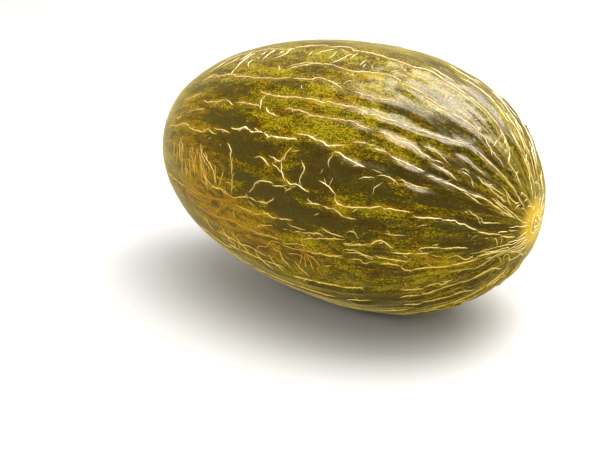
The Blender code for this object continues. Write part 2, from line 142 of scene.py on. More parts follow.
# How far a crack wanders, and in how many waves a metre: the broadest as in the solid, then small jogs
# and smaller jags
STRAYS = ((0.6 * MM, 90.0), (0.6 * MM, 240.0), (0.3 * MM, 700.0))
STRETCH_STEPS = (10, 34)  # how many steps one unbroken stretch of a crack has
STRETCH_OVERLAP = 2
STRETCH_LEAN = (0.1 * MM, 0.5 * MM)
CURVE_STEPS = 12
SAMPLE_STEP = 0.5 * MM

# The scars' rings: which end, the width factor, the radius, and the waves as a share of it
RINGS = (
    (1, 1.4, BLOSSOM_RING, 0.16),
    (1, 1.7, 2.2 * MM, 0.2),
    (-1, 1.8, STEM_RING, 0.05),
    (-1, 1.2, 2.7 * MM, 0.12),
)
RING_LOBES = (3, 7)
SMALL_LOBES = 0.6
SEARCH_FROM = 1.2  # where the search for a ring's place begins, as an angle from the middle
SEARCH_STEPS = 2000

# Rays out of the scars: which end, how many, and in mm where they begin and where they stop
RAYS = (
    (1, 19, (7, 10), (13, 25)),
    (-1, 23, (9, 17), (22, 58)),
    (-1, 13, (3.2, 3.8), (4.6, 5.8)),
    (1, 11, (2.4, 4.0), (4.6, 8.0)),
)
RAY_SPREAD = (-0.35, 0.35)  # as a share of the gap between two rays
RAY_POINTS = 5
RAY_LEAN = (-6, 6)  # degrees
RAY_WIDTHS = (0.45, 0.85)

# Spurs: their places count a crack's steps, and a slant is a share of the length
FIRST_SPUR = (5, 16)
SPUR_GAPS = (9, 32)
SPUR_MARGIN = 4
SPUR_ROOT = 2
SPUR_LENGTHS = (1.6, 4.2)  # mm
SPUR_SLANTS = (0.35, 0.9)
SPUR_WIDTH = 0.62

# The photograph's camera
LENS = 75.2
SENSOR = 36.0
PHOTO_WIDTH, PHOTO_HEIGHT = 600, 450
AXIS_MIDDLE_PIXEL = (343.14, 169.95)  # where the fruit's middle lies in the photograph
CAMERA_YAW = 34.8
CAMERA_PITCH = 24.0
CAMERA_DISTANCE = 6 * HALF_LENGTH

# Floor and light
FLOOR_HALF = 4.0
FLOOR_LOOK = {"Base Color": (0.66, 0.66, 0.655), "Roughness": 0.9}
WORLD_COLOUR = (1.0, 0.99, 0.97)
WORLD_STRENGTH = (-0.4, 0.8, 0.3, 1.2)  # a range, from the camera's side to behind the fruit
LAMP_COLOUR = (1, 0.98, 0.94)
# The lamps: name, place, what each faces, size, power, and the setting that hides it from some rays
LAMPS = (
    ("sky", (0.1, 0.1, 1.9), (0, 0, 0), (2.6, 2.4), 34, "visible_glossy"),
    ("key", (0.3, 0.2, 1.2), (0.03, 0, 0.08), (0.5, 0.4), 4.0, "visible_glossy"),
    ("front", (-0.3, -1.3, 0.8), (0, 0, 0.08), (1.0, 0.7), 7, "visible_glossy"),
    ("window", (0.31, 0.35, 1.12), (0.05, 0, 0.08), (0.95, 1.35), 340, "visible_diffuse"),
)

# Colours, linear
CALM_OLIVE = (0.088, 0.066, 0.011)
DARK_OLIVE = (0.052, 0.036, 0.001)
DEEP_GREEN = (0.083, 0.057, 0.001)
OLIVE = (0.137, 0.095, 0.001)
LEAF = (0.250, 0.175, 0.0015)
YELLOW_GREEN = (0.49, 0.385, 0.008)
BROWN_TINT = (1.0, 0.74, 0.6)
GREEN_TINT = (0.9, 1.0, 1.1)
OCHRE = (0.37, 0.225, 0.006)
RUST = (0.40, 0.195, 0.004)
BURNT = (0.42, 0.17, 0.012)
GOLD = (0.78, 0.50, 0.012)
CREAM = (0.95, 0.77, 0.33)
TAN = (0.80, 0.58, 0.15)
GOLDEN = (0.92, 0.70, 0.12)
AMBER = (0.80, 0.41, 0.02)
BARK = (0.26, 0.15, 0.04)

# The rind's noises, large, middle, streak, fine, grain and hue: each one's scale along and round the
# fruit, shift, detail, roughness and distortion
RIND_NOISES = (
    ((3.2, 8.5, 8.5), (0, 0, 0), 3.0, 0.6, 0.4),
    ((10, 24, 24), (3, 1, 2), 3.0, 0.65, 0.3),
    ((11, 60, 60), (5, 2, 7), 2.0, 0.6, 0.3),
    ((62, 116, 116), (1, 5, 3), 2.0, 0.7, 0.2),
    ((150, 250, 250), (0, 0, 0), 1.0, 0.6, 0.0),
    ((7, 17, 17), (2, 9, 4), 3.0, 0.6, 0.3),
)
# What goes into the mottling: each part's factor, and a number that centres the part
# The tone part carries the listed patches, painted shade low on the flank and under the fruit among them
TONE_AND_SHADE_PART = 0.24
LARGE_PART = (1.5, -0.30)
MIDDLE_PART, MIDDLE_REST = 0.75, -0.375
STREAK_PART = (1.0, -0.5)
FINE_PART = (2.9, -1.95)
RIND_STOPS = ((0.12, DARK_OLIVE), (0.3, DEEP_GREEN), (0.48, OLIVE), (0.68, LEAF), (0.95, YELLOW_GREEN))
# Ranges: the values from and to which a look changes, then what it is at each, if not 0 and 1
STREAKY = (-0.3, 1.1, 0.35, 0.95)
TOWARD_BLOSSOM = (-0.2, 0.7)
BUSY = (0.14, 0.46)
CALM = (0.12, 0.42)
CALM_SPECKS = (0.36, 0.56, 0.1, 0.95)
BROWN_PARTS = (0.5, 0.66, 0.0, 0.9)
GREEN_PARTS = (0.36, 0.48, 0.9, 0.0)
CRACK_EDGES = (0.2, 0.5, 0.12, 0.55)
RUSTY_PARTS = (0.38, 0.62, 0.05, 0.75)
GLOSS = (0.3, 0.7, 0.3, 0.45)
# How busy and how calm the dark parts are: what the blossom half adds, and the rest
BUSY_IN_DARK = (0.5, 0.34)
CALM_IN_DARK = (-0.45, 1.0)
# Colours round the scars: how ragged the edge is, then a range of distances from the scar in mm
GOLD_TIP = (12.0, (14.5, 24.0, 0.95, 0.0))
BURNT_PIT = (3.0, (4.0, 6.5, 0.8, 0.0))
TAN_STALK = (4.0, (7.0, 11.0, 1.0, 0.0))
BARK_CORE = (5.0, (4.2, 8.2, 0.85, 0.0))
WAX = {
    "Specular IOR Level": 0.02,
    "Coat Weight": 0.06,
    "Coat Roughness": 0.3,
    "Sheen Weight": 0.9,
    "Sheen Roughness": 0.3,
    "Sheen Tint": (1.0, 0.82, 0.28),
}
RIND_BUMPS = (0.35, 0.4 * MM)
MIDDLE_BUMPS = 1.2
MIX_COLOUR, MIX_OTHER, MIX_RESULT = 6, 7, 2  # a Mix node's colour sockets

# The cork's looks
CORK_NOISES = (((90, 90, 90), (0, 0, 0), 2.0, 0.6), ((900, 900, 900), (0, 0, 0), 2.0, 0.6))
BROAD_CORK, FINE_CORK = 0.7, 0.3
CORK_STOPS = (0.36, 0.56)
GOLDEN_CORK = (70 * MM, 145 * MM, 0.75, 0.0)  # a range of heights
AMBER_CORK = 0.85
CORK_ROUGHNESS = 0.62
CORK_BUMPS = (0.4, 0.2 * MM)


def listed(table):
    """The rows of a table as (first number, pairs of numbers)."""
    rows = []
    for row in table.strip().splitlines():
        first, *pairs = row.split()
        rows.append((float(first), [tuple(float(value) for value in pair.split(",")) for pair in pairs]))
    return rows


# Cracks, one a row: a width factor, then the places that it runs through. The solid has these four
# tables too, with 1.5 in place of the three factors 1.7 and 1.8
TOP_CRACKS = listed("""
1.1 -88,31 -61,30 -54,31.5 -30,32.5 -10,31
1.1 -10,31 2,30.5 8,28.5 20,30 26,31.5
1 33,31.5 49,31.5 56,30 61,29.5
0.8 25,29.5 29.5,25.5
1.1 -18,26 -13,23.5 -2,20.5 10,19.5 23,21 36,19 48,17 56,19
1.1 56,19 67,19.5 77,21.5 82,22 94,20.5 104,20.5 109,21 117,26
0.9 -27.5,23 -24.5,26 -22.5,27
0.9 -30,8 -17,4 -8,3.5
1.1 15,5 29,5.5 42,6 54,5.5 61,3.5 76,4 90,3.5 101,3 110,4
1.1 110,4 114,6 119,9 120,12 121,18 123,19 126,19.5 129,23
0.8 112,3 113,8 113,15 113.5,20
1 114,-3 118,-3 121,-6 127,-8
1 112,-13 118,-14 121,-15 129,-18
0.7 -61,26.5 -62,21 -61,15 -60,10
0.7 -50.5,26 -54,22.5 -53.5,19
0.7 -45.5,18.5 -45,13.5 -44,9
0.7 -9,13.5 -6,9.5 -1,6
0.7 6.5,19 10,15.5 13,10.5 15,9.5
0.7 15.5,13.5 17,7.5
0.7 46,16 48,11.5
""")
SHOULDER_CRACKS = listed("""
1.2 -28,39.5 -24,40.5 -8,41 0,40 13,39.5 20,40 27,39 42,39 50,40
1.2 50,40 58,39 66,38.5 73,39 82,37.5 90,37 97,34.5 104,32
1.2 104,32 108,31.5 115,33 120,33 126,34 129,36
1.1 -4,46.5 0,45.5 12,46 20,46.5 30,45.5 42,45 56,46
1 60,45.5 68,46 73,47 78,46.5 86,48 93,49.5
1 92,50.5 97,52 101,52.5 106,55.5
0.9 -97,45.5 -90,44.5 -79.5,42
1 -74,46.5 -68,48 -60,47 -52,46.5 -43,48
1 -43.5,46.5 -33,46.5 -25,47 -21,48
1.1 -18.5,47 -13.5,49 -5,49.5
0.8 -21,41 -23,44.5 -22,48
1.1 47,53.5 57,51.5
1 60,53 69,53.5
1.2 70,54 79,55 91,55.5
1.7 11,55.5 16,55 27,56 33,57 38,56.5 44,55
0.9 85,44.5 91,44.5 100,47.5
1 105,38.5 110,41 116,42.5
0.9 105,49 110.5,48.5
1 113,46.5 119,48.5 123,51.5 127,53
0.9 125.5,44 127.5,50 129,54
""")
FLANK_CRACKS = listed("""
1 -108,64 -95,63 -84,61 -76,63 -65,63.5 -57,61
0.9 -99.5,58.5 -91.5,57.5
0.9 -87,56 -83.5,53.5 -69,51
1 -53,60.5 -46,60.5 -38,61.5
1.8 -38.5,58.5 -33,59 -27,57.5 -20,58.5 -12,58
1.8 -12,58 -8,59 -1,58.5 7,58 13,57.5
1.4 38.5,60 41,59 50,60.5 60,62
1.1 38.5,60 37.5,62.5 39,65
1.2 91.5,57.5 104,58 111,59 117,58.5 120,59 124,61 127,63 130,66
1 121.5,56 126,58.5 128.5,62 131,66
1 57,67 60,66 65,65 66.5,66
1 67,64 73,63 79.5,64.5
1 78,63 81,62.5 84,63.5 96,64
0.8 71,66 68,69 67.5,72.5
1 -14.5,68.5 -9.5,68 -5,69 -1,71
1 -4,66.5 0,67 6,67.5 8.5,63.5 11,61
1.1 6,67.5 8,71 12,74.5 16,75.5 20.5,75 29.5,76.5
0.9 20.5,75 22,71 23,68 20,65
1 33.5,71 41.5,73 46,75.5
1.1 46,75.5 47,78.5 56,79 67,77.5 74,76.5 89,77
1.1 90,78 96,78.5 109,78 115.5,82 120.5,84.5 127,88.5 132,97.5
0.9 114,69 117.5,73 120,76 125,77
0.9 -38.5,66 -33.5,68.5 -31.5,73 -30,76.5 -29,83 -29,87.5
1 -15,84.5 -11.5,81.5 -9.5,79 -6,77.5 6,77.5 14,76.5
1.1 27.5,81.5 35,81 47,81.5 52,83.5 60.5,84
1 -63,74 -53,86 -46,87.5 -37,87 -31,89.5
0.8 -71,75 -65,84
0.8 -59,73 -48,79 -45,86.5
""")
LOW_CRACKS = listed("""
1 -31,89 -24,88 -16.5,86.5 -3.5,86.5 0.5,85.5 4.5,83
0.9 -48,93 -42,92.5 -34,92
1.1 -27.5,92 -21,92 -7.5,92.5 0,90.5 4,91.5 19,90.5
0.8 53.5,90 58.5,89.5 62,92
0.8 76,88 87,89
1 -103,98.5 -91,98 -77,96.5 -60,96
1.1 -54,103 -44,102.5 -28,101 -19.5,102 -1,101.5 7,101
0.8 -27.5,93 -28.5,98.5
0.8 -12,100 -8,98.5 3.5,95.5
1 -48,111.5 -35,113.5 -19,113.5 -6,114.5
0.9 18,95.5 35,93.5 40,94.5
0.9 25,98 39,95 54,94
1 52,95.5 66,94.5 71,92.5 75,92 81,95.5
1 79,97 88,98 100,98.5
1 93,96.5 95.5,94.5 102,95 116,97
1 30,104 39,103 52,103
1 52,99 59,98.5 65,100 79,101 85,101.5
1 73,104 80,104 84,105.5
1.1 84,104.5 86.5,107.5 99,107.5 109,109 122,107.5 127.5,111 132,126.5
0.9 106.5,114 112,114.5 120,117 126,114.5 130.5,119
0.9 128.5,122.5 131,127 133,149.5
1 80.5,121.5 90,122.5 99.5,121 101.5,123 105.5,121
1.1 78,129 84,127.5 94.5,128.5 105.5,126.5 113.5,128.5 123,127.5 126,140
1 76,136.5 84,137.5 96,137 108,138.5 113,144
""")

# Short, thin cracks that the solid leaves out
FINE_CRACKS = listed("""
0.9 -86.5,30.5 -82.5,29 -77.5,29 -65,31.5
0.7 -61,30.5 -62,28 -62.5,26
0.7 -67.5,17.5 -64.5,15.5 -64,12.5 -64,8.5
0.7 -51,18 -50,16.5
0.7 -54.5,13.5 -50.5,13 -50.5,9.5
0.8 -37,18 -34,17 -31.5,14 -32,11 -31.5,8.5
0.7 -37,14.5 -36.5,11.5 -35,10.5
0.8 -84,14 -76,11 -66,9 -56,8 -46,8 -36,9.5 -30,8
0.7 -78,22 -72,18 -70,13
0.7 -88,24 -82,20 -80,15
0.7 -13,15 -14,12.5 -13.5,11
0.7 2,15.5 2.5,12.5 2.5,8.5
0.7 2,5 6,7.5 10,8.5 13,9
0.8 -7.5,4.5 4.5,2.5 11,5 16,5
0.7 2.5,27.5 6.5,29
0.7 -20,25 -15,22.5 -9,20.5 -3,20
0.7 8.5,3.5 13,6
0.7 26,16 25.5,13.5 25.5,11
0.7 29,17 28,14
0.7 34.5,16.5 33,14.5 32.5,12.5
0.7 81,16 80.5,13.5
0.7 83.5,17 83.5,14.5
0.7 88,17.5 89,14.5
0.7 92.5,17 93,13.5
0.7 96,17 97.5,14.5
0.7 99,15 100,12.5
0.7 103.5,19.5 103,16
0.7 -1.5,34 0.5,35.5
0.8 -59.5,61.5 -55,62.5 -49.5,63
0.8 -56,66.5 -54,65
0.7 -44.5,67 -43.5,68
0.8 57,52.5 61.5,51.5
0.8 111,59 115,62 119,64
0.7 64,61.5 70.5,62.5
0.8 11.5,62.5 17,61.5
0.8 20.5,75 17.5,76.5 12,79.5
0.8 0,68.5 3,70 9,72
0.7 42.5,69 41,72.5
0.7 35,66 34,68.5
0.8 -16,87.5 -13,88.5 -9,89.5
0.8 -77.5,98.5 -64.5,98 -59,98.5
0.8 11,95.5 15,95
0.9 15,92.5 21,93 28,93
0.9 38.5,90 45,92 52.5,92.5
0.9 52.5,100 61,99.5 64.5,100.5 69.5,102.5
0.8 55.5,103 60,102.5 64.5,104.5 68.5,103
0.9 53,96 59.5,95.5 62,94.5 67,95
0.8 79.5,102 90,102.5
0.8 43,108 37,110
0.8 29,79 30,81
0.8 33.5,86 37,84.5
0.8 92.5,83 97.5,81.5
0.7 58.5,89.5 58.5,88
0.7 64,89.5 65,89
0.7 88.5,90 90,90
0.7 111,50.5 113.5,53.5
0.8 90.5,49 98,49
0.7 84.5,115.5 84.5,119
0.8 25.5,104 28,105.5 32.5,105.5
0.8 9.5,103 15.5,102 20.5,101 27.5,101
""")

# Short cracks and curls where the net draws together towards the blossom scar
END_CRACKS = listed("""
0.8 116,24.5 118,25 121,26.5
0.8 125.5,23 126,14
0.9 122.5,-9.5 125,-5 127.5,-7 131,-10
0.9 122,-4 125,-3 128,-3.5 130,-1 132.5,4.5
0.8 122.5,-28 125,-28 127,-32.5
0.8 105,47.5 106.5,46.5 108.5,46.5 110,47.5
0.7 110,49 112,50.5 113.5,53
0.8 112.5,46.5 115,47.5 117.5,48.5
0.9 116.5,46 119.5,47.5 124.5,48 126,46.5
0.9 123.5,42 125,42.5 127,45.5 128.5,46 130,44.5 130.5,39
0.8 128.5,36.5 130,36.5 132.5,39
0.8 129.5,33 130.5,25 131.5,22.5 132.5,23 132,34.5
0.8 131,39 130.5,48 130.5,54
0.8 108.5,59.5 113,60.5 118,63.5
0.9 122.5,55 127.5,57.5 130,60.5 132,65 134,68.5
0.7 112,70.5 114.5,72
0.8 115.5,71 119.5,75
0.8 130.5,-11.5 130.5,-25
0.8 131,-16 131.5,-32 132,-28
0.7 132.5,-1 133,-20.5
0.8 133,34 133.5,26.5 134,7.5 134,-10.5
0.7 127.5,-41.5 130,-42 130.5,-57.5
0.8 126.5,88 127.5,85.5 130,85
0.8 130,82.5 131,84.5 132.5,87
0.8 118.5,73 120.5,75 121,77 123,77 127,76
0.7 117,90.5 117.5,88 119,87
0.7 115.5,88 115.5,86.5
0.7 122.5,89.5 123.5,91.5
0.8 124.5,90 126,93.5 126.5,102
0.8 127.5,90.5 128,96 127.5,102.5
0.8 129.5,108.5 130,104 131.5,104 133,110 134,121
0.7 120,103.5 122.5,102 124,103
0.9 106,103.5 110,102.5 113.5,105.5 115.5,106.5 118,105
0.8 101.5,120 106,121 107.5,119.5
0.8 126,117.5 126.5,123.5 126.5,130
0.8 127,126.5 128.5,123 129,133.5 129,142
0.8 116.5,150.5 120,148 125,148.5
0.8 113.5,7 115,7 117.5,9 119.5,8.5
0.7 104,20.5 103.5,15.5
1 76.5,-6.5 82,-9 86.5,-10.5 90,-11 95.5,-11 99,-11
1 99,-11 105,-9.5 108,-9 110.5,-11
0.9 60,-0.5 67.5,0.5 73.5,0.5 77.5,0
0.8 78.5,-17.5 83,-19
0.7 105,-12.5 107.5,-13.5 110,-12
0.7 104.5,-14 108,-13 110,-14
0.9 118,-40 122.5,-25.5 124.5,-26 126,-31.5
0.8 112,-5.5 118,-4 121.5,-3
0.8 113,-9 114.5,-13 118,-11.5 122,-9
0.8 105.5,-18 108,-21 111.5,-19 114.5,-18.5
0.8 97,33.5 101,32.5 104.5,30.5
0.8 119,103 125.5,103.5 129,106 133.5,111.5
0.8 115.5,104 120.5,103.5 125.5,107.5 129,111 131.5,118 134,131
0.8 121.5,112 125.5,113 129,115 132,124.5 133.5,141
0.8 125.5,120 128,119 130.5,123.5 132.5,137.5 133.5,157.5
0.7 128,129.5 130.5,139.5 132,153 132.5,171.5
0.7 99,99 103.5,101.5
0.7 100,93.5 103.5,92.5
0.7 130,82 132,86
0.8 122,-23 124,-26.5 127.5,-27
0.8 128,-38 130.5,-41.5 131.5,-59
""")

# Hair-fine orange cracks on the lower flank of the stem half
HAIR_CRACKS = listed("""
0.8 -84,68 -83.5,71.5 -81,74.5 -80,78
0.8 -88.5,75.5 -87,79.5 -88.5,83.5 -89,87
0.8 -93,72 -92,78 -93.5,84
0.8 -79.5,80.5 -81.5,84.5
0.8 -70.5,72 -69,74.5 -68,77
1 -67,73 -65,72.5 -64,75 -63.5,76.5
1.1 -62.5,69 -61.5,70.5 -60.5,73 -59,75 -55.5,77 -52,78.5 -50,81.5
1.2 -56,72.5 -54,74.5 -51.5,77 -48,79 -46.5,79.5
1 -76.5,79.5 -73,79.5 -67,79.5
0.9 -68.5,80 -67.5,83 -68,86.5
1 -64.5,79.5 -63.5,82.5 -61.5,84.5
0.9 -61.5,78 -59.5,79
1.1 -58,78 -56,80.5 -55,83.5 -53,85 -49.5,86.5 -46.5,87.5
1.1 -47,77 -45.5,78.5 -45,82 -44.5,84.5 -42.5,86
1 -37.5,78 -38,80 -39,82.5 -40.5,85 -41.5,86.5
1 -43.5,82 -41,82.5 -39,82.5
1 -35.5,83.5 -31.5,83 -28.5,83.5
0.9 -58.5,83 -57.5,86 -54.5,88 -51,89
0.9 -74.5,82 -75,84.5 -71.5,87.5
1.6 -51,90 -46,87.5 -39,87 -35,88.5 -29.5,88.5 -27,88
1.2 -27,88 -24.5,88 -20,87 -16.5,86
1.2 -51.5,94.5 -44.5,93.5 -39,93 -33,92.5
1.1 -38.5,93.5 -39.5,96 -43.5,99 -45.5,101.5
0.9 -33,93 -35,95.5
1 -26.5,93 -27.5,96.5 -28.5,101
1.1 -66,103 -59.5,103 -53.5,104 -49,103
1 -65.5,94.5 -60,94.5 -54,95
1 -66.5,97.5 -60.5,98
1.2 -14.5,103.5 -9,102.5 -3.5,102.5 1.5,101.5 7,102
1.1 -10.5,100 -7,97.5 -1,96.5 4.5,95.5
0.8 -35.5,107.5 -33.5,110.5 -33,112.5
0.9 -33,112.5 -26,107
0.9 -51.5,114.5 -45,114 -36.5,114 -29.5,113.5 -22.5,113 -15,113
0.8 -22.5,106 -17,106.5 -14.5,106.5
1.1 -12.5,112.5 -12,110 -6.5,108.5 -3.5,108 0,104.5 3,103.5 9,103.5
1.1 9,103.5 15.5,104 24,103.5 35.5,103 52,102
0.8 -36,115 -36,118 -37,121.5
0.8 -31,114 -31.5,117 -32,119.5
1 1,107 4,108 6.5,108 7,109.5 6.5,113
1 13,107.5 18.5,106.5 22.5,106.5 24,108.5
0.9 24,104 22,108 20,112
0.9 25,104 25,108 24,113
0.9 26,104 28,108 29,113
0.9 27,104.5 32,107 35,110
0.9 24.5,99 25.5,101.5 25.5,104
""")

# Furrows beside the folds near the blossom end, one a row: a depth in mm, then its places
FURROWS = listed("""
1 44,36 54,35 64,34.5 76,35.5 84,36 94,35 99,34
0.9 84,32 94,31.5 103,30
1.1 97,39 106,38.5 116,38.5 122,40
0.9 86,47.5 95,48 104,48
1.1 50,58 59,58.5 70,59 80,61 88,63.5 97,64.5
0.8 64,43.5 72,43.5 80,43.5
1 96,14.5 107,14 116,12 121,12
1 112,1 120,4 126,4 130,5
0.7 52,12 60,11.5 70,8.5
0.7 54,-5 66,-5 76,-4
1 100,65 108,66 117,68.5 124,69.5
1.1 96,112 108,115 115,119.5 122,120 127,119.5 131,124
1.1 92,126 104,129 116,131.5 124,134
0.8 92,124 100,122 108,121
0.9 96,91 106,91 116,92 124,93
0.8 70,89 80,91 92,91
0.8 104,103 114,104 124,106 130,108
0.8 98,72 108,74 118,76 126,79
""")

# Patches of the mottling and of painted shade, one a row: a tone, below 0 for darker, then its middle and
# its half size. The three broad rows at turns 88, 112 and 134 are painted shade, darker low on the flank
# and under the fruit
TONE_AND_SHADE_PATCHES = listed("""
-1 -55,39.5 27,3
-1.1 -47,56 32,4
-0.8 -66,67 16,2.5
-1 -42,69 19,4
-1.1 -12,66.5 17,4
-1.3 25,67.5 16,7
-1.2 43,65.5 14,5.5
-1 -12.5,78 14,5.5
-1.1 3,82 18,4
-0.9 -8,34.5 15,2.5
-1 15.5,84 11,4
-1.1 43,86 13,3.5
-0.8 23,92.5 10,2.5
-0.7 -13,106 8,3
-0.7 37,96 7,2
-0.8 8,110 11,3
-1.1 68,70.5 11,4
-1 68,84 10,4
-0.9 89,89 9,3.5
-0.8 71,97 7,2.5
-0.8 100,80 8,2.5
-0.9 96,71 11,4
-0.9 117,99 6,4
-0.8 93,123 6,3
-0.8 62,33 14,2
-1 108,38 12,2.5
-1 72,61 16,3
-0.6 100,47 12,3
-0.7 110,68 14,4
1.2 23,37 24,5
0.9 7,54.5 18,4
0.9 34,51 18,5.5
0.6 -42,28 34,3
0.6 -2,74.5 11,3
1 11.5,34 7,2
1.3 41,22 16,5
0.6 54,36.5 11,2
0.7 76,45 14,4
0.7 80,78 20,4
1 103,108 7,8
0.9 109,104 5,3
0.9 124,92 5,5
0.6 60,12 30,6
0.5 95,10 20,6
0.4 0,12 40,8
1.2 104,-10 13,8
1 126,-16 9,22
0.5 127,30 6,16
-0.8 -14,88.5 16,2.5
-0.7 6,96 20,3
-0.45 40,88 70,13
-0.35 30,112 90,12
-1.6 62,134 36,9
-0.8 116,42 14,22
-0.7 120,85 12,22
-0.6 76,67 22,8
""")

# Patches of orange, in the same form
WARM_PATCHES = listed("""
0.75 -68,80 24,13
0.6 -55,96 30,8
0.8 -20,106 46,8
0.9 -31,89.5 6,2.5
0.6 -47,97 14,5
0.5 26,106 7,3
0.4 -80,52 20,13
0.4 -28,95 34,6
""")
PATCH_FALL = 0.9  # how steeply a patch falls off
TONE_AND_SHADE_LIMIT = 1.6

# Rows of long cracks on the far side and the underside, as in the solid: the turns and the stations that
# they fill; then the turn from row to row, and the lengths, gaps and width factors of their cracks
UNDER_ROWS = ((122, 140), (-80, 60))
BACK_ROWS = ((148, 334), (-112, 128))
LONG_CRACKS = (10.5, (24, 74), (-4, 14), (0.8, 1.2))
# Thin cracks between those rows, for the rind only
THIN_ROWS = ((172, 352), (-124, 126))
THIN_CRACKS = (6.5, (7, 34), (5, 34), (0.45, 0.8))
# What varies at random: where a row begins, a crack's drift, bow and shift in degrees, and the rows' gaps
ROW_START = (0, 24)
ROW_DRIFT = (-2.5, 2.5)
ROW_BOW = (-1.5, 1.5)
ROW_SHIFT = (-2, 2)
ROW_GAPS = (0.8, 1.2)

# Short cracks across the long ones, as in the solid: the stations and the turns that they fill, then
# their gap, reach and slant
CROSS_ROWS = (
    ((-86, -50), (70, 88), 5, 15, 2),
    ((-60, 20), (103, 120), 13, 10, 9),
    ((-90, 90), (190, 330), 15, 9, 4),
)
# How these vary at random, where along its slant a crack's middle lies and how far that shifts in mm
CROSS_GAPS = (0.6, 1.4)
CROSS_REACH = (0.6, 1.2)
CROSS_LEAN = (0.5, 1.4)
CROSS_BEND = 0.4
CROSS_SHIFT = (-1, 1)
CROSS_WIDTH = 0.8
CROSS_WIDTHS = (0.85, 1.1)


# The surface of the fruit, worked out for whole arrays of places


def smooth_step(value, low, high):
    """0 below low, 1 above high, and a smooth rise between."""
    share = np.clip((value - low) / (high - low), 0, 1)
    return share * share * (3 - 2 * share)


def sag(along):
    """How far the axis has moved down at this share of the half length."""
    return BLOSSOM_SAG * np.maximum(0, along) ** SAG_POWER


def girth(along):
    """The fruit's radius at this share of the half length."""
    fullness = np.where(along > 0, BLOSSOM_FULLNESS, STEM_FULLNESS)
    round_part = np.sqrt(np.clip(1 - np.abs(along) ** fullness, 0, 1))
    return HALF_WIDTH * round_part * (1 + TAPER * along + SHOULDER * (along**3 - SHOULDER_LEAN * along))


def smooth_points(along, angle):
    """Points of the smooth fruit in its own frame, for arrays of places."""
    radius = girth(along)
    side = -radius * np.sin(angle)
    up = radius * np.cos(angle) + AXIS_HEIGHT - sag(along)
    return np.stack([HALF_LENGTH * along, side, up], axis=-1)


def smooth_normals(along, angle):
    """The smooth fruit's outward normals, for arrays of places."""
    small = 1e-3
    slope = np.arcsin(np.clip(along, -1, 1))
    quarter = math.pi / 2
    low, high = (np.sin(np.clip(slope + step, -quarter, quarter)) for step in (-small, small))
    lengthwise = smooth_points(high, angle) - smooth_points(low, angle)
    across = np.stack([np.zeros_like(angle), -np.cos(angle), -np.sin(angle)], axis=-1)
    normal = unit_rows(np.cross(across, lengthwise))
    ends = np.abs(along) > AT_TIP
    normal[ends] = np.stack([np.sign(along[ends]), 0 * along[ends], 0 * along[ends]], axis=-1)
    return normal


def place_of(points):
    """The places nearest under points that lie close to the rind."""
    along = np.clip(points[:, 0] / HALF_LENGTH, -NEAREST_TIP, NEAREST_TIP)
    angle = np.arctan2(-points[:, 1], points[:, 2] - AXIS_HEIGHT + sag(along))
    return along, angle


def unit_rows(vectors):
    """Vectors, each made one unit long."""
    return vectors / np.linalg.norm(vectors, axis=-1, keepdims=True)


def lengths_along(points):
    """How far along a line of points each of them lies."""
    return np.concatenate([[0], np.cumsum(np.linalg.norm(np.diff(points, axis=0), axis=1))])


def steps_from_tips(count):
    """For each point of a line, how many steps it is from the nearer tip."""
    number = np.arange(count)
    return np.minimum(number, number[::-1])


# The routes of the cracks


def between(t, before, start, end, after):
    """The value at share t from start to end on a smooth curve through four values."""
    slope = (end - before) * t
    bend = (2 * before - 5 * start + 4 * end - after) * t**2
    twist = (3 * start - before - 3 * end + after) * t**3
    return start + (slope + bend + twist) / 2


def curve_through(places):
    """Closely spaced places on a smooth curve through the given ones."""
    ends = (places[0], *places, places[-1])
    found = []
    for four in zip(ends, ends[1:], ends[2:], ends[3:]):
        for step in range(CURVE_STEPS):
            found.append(tuple(between(step / CURVE_STEPS, *values) for values in zip(*four)))
    return [*found, places[-1]]


def points_at(places):
    """Points of the smooth fruit at (station, turn) places."""
    stations, turns = np.array(places, dtype=float).T
    return smooth_points(stations * MM / HALF_LENGTH, np.radians(turns))


def evenly(points, step):
    """Points at even distances along a line of points, both ends included."""
    lengths = lengths_along(points)
    count = max(2, round(lengths[-1] / step))
    targets = np.linspace(0, lengths[-1], count + 1)
    return np.stack([np.interp(targets, lengths, points[:, axis]) for axis in range(3)], axis=-1)


def strayed(points):
    """A line on the smooth fruit that wanders as a real crack does, with small jogs and jags."""
    moved = []
    for point in points:
        place = Vector(point)
        shifts = (reach * noise.noise_vector(place * waves) for reach, waves in STRAYS)
        moved.append(place + sum(shifts, Vector()))
    return smooth_points(*place_of(np.array(moved)))


def routed(cracks, factor=1.0):
    """Cracks as (width factor, line on the smooth fruit, whether it tapers)."""
    return [
        (factor * width, strayed(evenly(points_at(curve_through(places)), CORK_STEP)), True)
        for width, places in cracks
    ]


def along_at(end, radius):
    """The share of the half length, towards one end, where the smooth fruit has this radius."""
    near_end = np.sin(np.linspace(SEARCH_FROM, math.pi / 2, SEARCH_STEPS))
    return end * np.interp(-radius, -girth(end * near_end), near_end)


def ring(end, width, radius, waves):
    """A wavy closed ring round one end of the fruit, in the form of a crack that doesn't taper."""
    count = round(2 * math.pi * radius / CORK_STEP)
    angle = 2 * math.pi * np.arange(count + 1) / count
    angle[-1] = 0
    few, many = RING_LOBES
    reach = radius * (1 + waves * (np.sin(few * angle + end) + SMALL_LOBES * np.sin(many * angle)))
    return width, smooth_points(along_at(end, reach), angle), False


def rays(draw, end, count, inner, outer):
    """Thin cracks that run out of the scar at one end of the fruit."""
    found = []
    for number in range(count):
        turn = 360 * (number + draw.uniform(*RAY_SPREAD)) / count
        first, last = draw.uniform(*inner) * MM, draw.uniform(*outer) * MM
        stations = np.linspace(along_at(end, first), along_at(end, last), RAY_POINTS)
        angles = np.radians(turn + np.linspace(0, draw.uniform(*RAY_LEAN), RAY_POINTS))
        line = evenly(smooth_points(stations, angles), CORK_STEP)
        found.append((draw.uniform(*RAY_WIDTHS), strayed(line), True))
    return found


